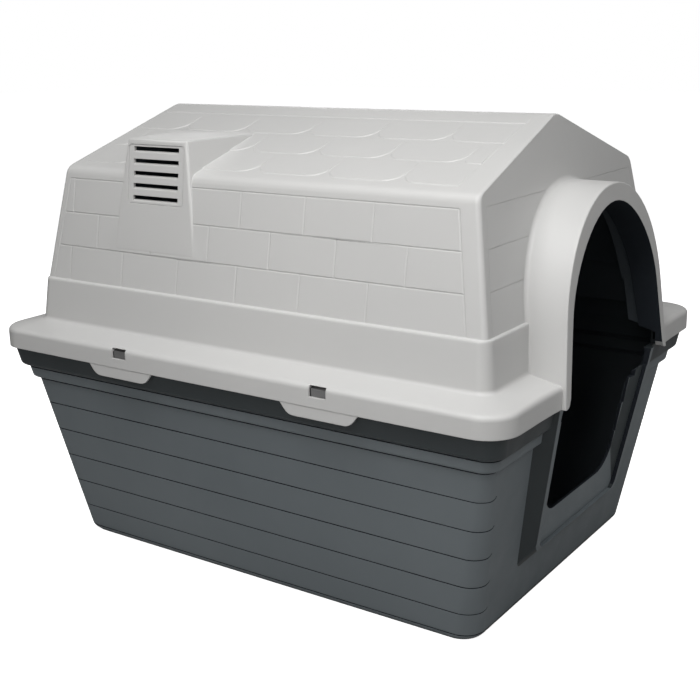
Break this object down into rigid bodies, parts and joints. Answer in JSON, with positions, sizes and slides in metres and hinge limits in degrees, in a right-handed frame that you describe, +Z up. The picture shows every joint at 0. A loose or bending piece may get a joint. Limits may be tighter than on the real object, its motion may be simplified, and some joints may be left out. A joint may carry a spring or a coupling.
{
  "type": "plastic dog kennel",
  "caption": "Two-shell moulded plastic kennel: a dark tub with a doorway and a light lid with a gable roof, porch, vents and snap catches; the lid lifts off.",
  "frame": {"origin": "centre of the bounding box in plan, on the ground plane under the tub", "axes": "+X to the kennel's right side, +Y to its rear, +Z up; the doorway faces -Y and the roof ridge runs along Y"},
  "size_m": [0.66, 0.8684, 0.6572],
  "materials": {
    "light_shell": "warm light grey injection-moulded polypropylene, satin, with brick, tile and clapboard grooves",
    "dark_shell": "dark blue-grey injection-moulded polypropylene, satin",
    "grille_plastic": "light grey moulded louvre insert",
    "catch_plastic": "dark grey moulded catch"
  },
  "bodies": {
    "tub": {"base_tub": "dark_shell"},
    "lid": {"roof_shell": "light_shell", "vent_grille_left": "grille_plastic", "vent_grille_right": "grille_plastic"},
    "catch_front_left": {"latch_catch_front_left": "catch_plastic"},
    "catch_rear_left": {"latch_catch_rear_left": "catch_plastic"},
    "catch_front_right": {"latch_catch_front_right": "catch_plastic"},
    "catch_rear_right": {"latch_catch_rear_right": "catch_plastic"}
  },
  "joints": [
    {"name": "lid_lift", "type": "slide", "parent": "tub", "child": "lid", "axis": [0, 0, 1], "range_m": [0, 0.36]},
    {"name": "catch_front_left_press", "type": "hinge", "parent": "tub", "child": "catch_front_left", "pos_m": [-0.3188, -0.16784, 0.3189], "axis": [0, 1, 0], "range_deg": [0, 6], "stiffness_Nm_per_rad": 2},
    {"name": "catch_rear_left_press", "type": "hinge", "parent": "tub", "child": "catch_rear_left", "pos_m": [-0.3188, 0.17616, 0.3189], "axis": [0, 1, 0], "range_deg": [0, 6], "stiffness_Nm_per_rad": 2},
    {"name": "catch_front_right_press", "type": "hinge", "parent": "tub", "child": "catch_front_right", "pos_m": [0.3188, -0.16784, 0.3189], "axis": [0, -1, 0], "range_deg": [0, 6], "stiffness_Nm_per_rad": 2},
    {"name": "catch_rear_right_press", "type": "hinge", "parent": "tub", "child": "catch_rear_right", "pos_m": [0.3188, 0.17616, 0.3189], "axis": [0, -1, 0], "range_deg": [0, 6], "stiffness_Nm_per_rad": 2}
  ]
}
